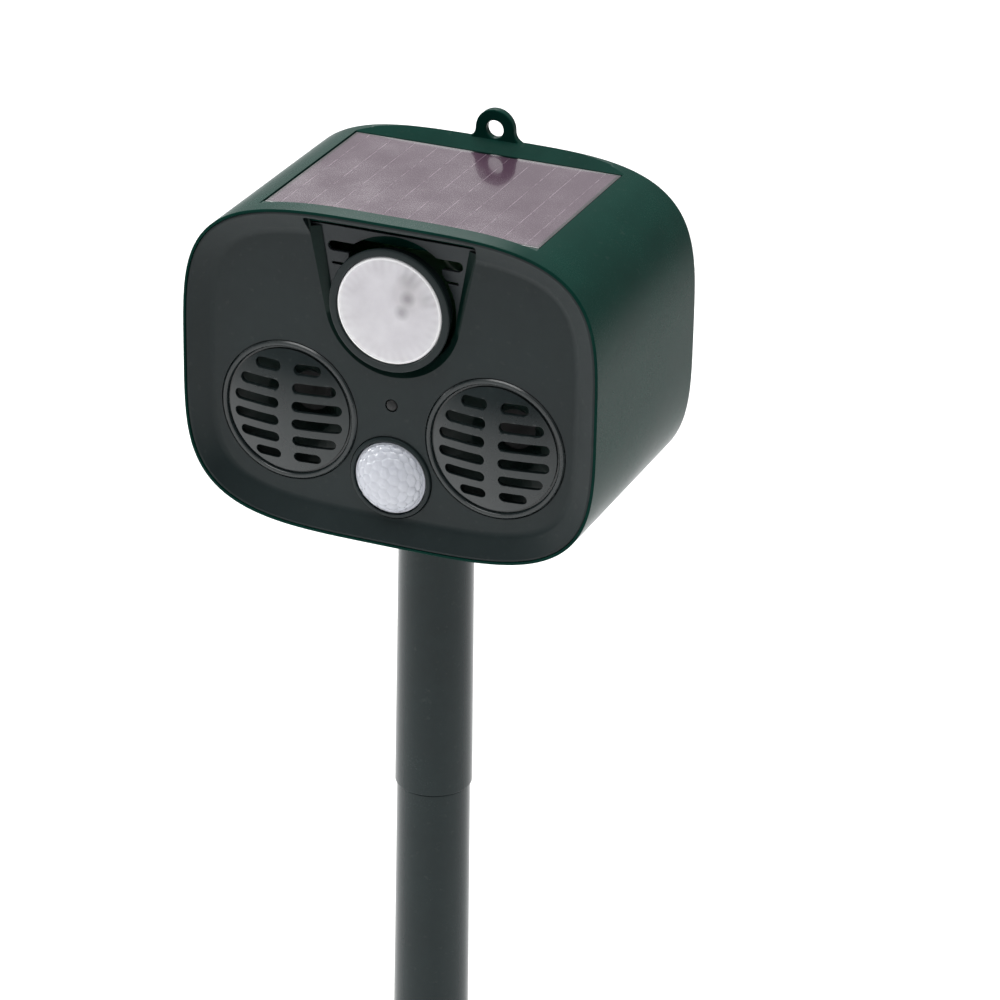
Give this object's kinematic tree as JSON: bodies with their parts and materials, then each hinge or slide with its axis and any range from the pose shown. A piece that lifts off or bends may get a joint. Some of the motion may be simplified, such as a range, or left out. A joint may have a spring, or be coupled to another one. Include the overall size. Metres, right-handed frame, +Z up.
{
  "type": "ultrasonic pest repeller",
  "caption": "Solar ultrasonic pest repeller: a rounded box head with domed grilles, lamp and motion lens, on a plug-in pole with a ground spike.",
  "frame": {"origin": "on the pole's axis at ground level, where the spike's flange rests on the soil", "axes": "+Z up along the pole, -Y the way the face looks, +X to the right seen from the front"},
  "size_m": [0.145, 0.0908, 0.5079],
  "materials": {
    "shell_green": "satin moulded, fine sheen",
    "face_plastic": "fine spark-eroded satin",
    "pole_plastic": "satin, slightly ribbed by the mould",
    "black_plastic": "matt",
    "milky_lens": "milky polyethylene",
    "clear_lens": "clear moulded",
    "mirror_plastic": "vacuum-metallised",
    "solar_cell": "dark film",
    "solar_sheet": "smooth cover film",
    "board_green": "solder mask",
    "steel": "bright plated",
    "brass": "copper wound",
    "rubber": "matt",
    "cell_wrap": "shrink wrap",
    "led_white": "phosphor"
  },
  "bodies": {
    "stake": {"ground_spike": "pole_plastic", "lower_tube": "pole_plastic", "upper_tube": "pole_plastic"},
    "head": {"main_shell": "shell_green", "rear_cover": "shell_green", "battery_door": "shell_green", "front_panel": "face_plastic", "lamp_surround": "face_plastic", "lamp_collar": "face_plastic", "speaker_grille_left": "face_plastic", "speaker_grille_right": "face_plastic", "pir_retaining_ring": "face_plastic", "speaker_horn_left": "black_plastic", "speaker_horn_right": "black_plastic", "piezo_driver_left": "black_plastic", "piezo_driver_right": "black_plastic", "controller_chip": "black_plastic", "speaker_driver_chip": "black_plastic", "charger_chip": "black_plastic", "power_switch": "black_plastic", "pir_lens": "milky_lens", "lamp_lens": "clear_lens", "indicator_light_pipe": "clear_lens", "lamp_reflector": "mirror_plastic", "solar_cells": "solar_cell", "solar_cover_sheet": "solar_sheet", "lamp_board": "board_green", "pir_board": "board_green", "solar_backing_board": "board_green", "main_circuit_board": "board_green", "control_board": "board_green", "pir_sensor": "steel", "supply_capacitor": "steel", "lamp_capacitor": "steel", "rear_cover_screw_upper_left": "steel", "rear_cover_screw_lower_left": "steel", "rear_cover_screw_upper_right": "steel", "rear_cover_screw_lower_right": "steel", "battery_door_screw": "steel", "battery_contact_left": "steel", "battery_contact_right": "steel", "mode_potentiometer": "steel", "sensitivity_potentiometer": "steel", "usb_socket": "steel", "board_coil": "brass", "front_gasket": "rubber", "rear_gasket": "rubber", "battery_cell_1": "cell_wrap", "battery_cell_2": "cell_wrap", "battery_cell_3": "cell_wrap", "lamp_led": "led_white"},
    "mode_dial": {"mode_dial": "black_plastic"},
    "sensitivity_dial": {"sensitivity_dial": "black_plastic"},
    "power_button": {"power_button": "rubber"},
    "usb_flap": {"usb_flap": "rubber"}
  },
  "joints": [
    {"name": "head_turn", "type": "hinge", "parent": "stake", "child": "head", "pos_m": [0, 0, 0.245], "axis": [0, 0, 1], "range_deg": [-180, 180]},
    {"name": "mode_dial_turn", "type": "hinge", "parent": "head", "child": "mode_dial", "pos_m": [-0.013, 0.041, 0.2643], "axis": [0, 1, 0], "range_deg": [0, 270]},
    {"name": "sensitivity_dial_turn", "type": "hinge", "parent": "head", "child": "sensitivity_dial", "pos_m": [0.013, 0.041, 0.2643], "axis": [0, 1, 0], "range_deg": [0, 270]},
    {"name": "power_button_press", "type": "slide", "parent": "head", "child": "power_button", "axis": [0, -1, 0], "range_m": [0, 0.0012], "stiffness_N_per_m": 900, "springref_m": -0.0005},
    {"name": "usb_flap_swing", "type": "hinge", "parent": "head", "child": "usb_flap", "pos_m": [0.0254, 0.0425, 0.2643], "axis": [0, 0, 1], "range_deg": [0, 110]}
  ]
}
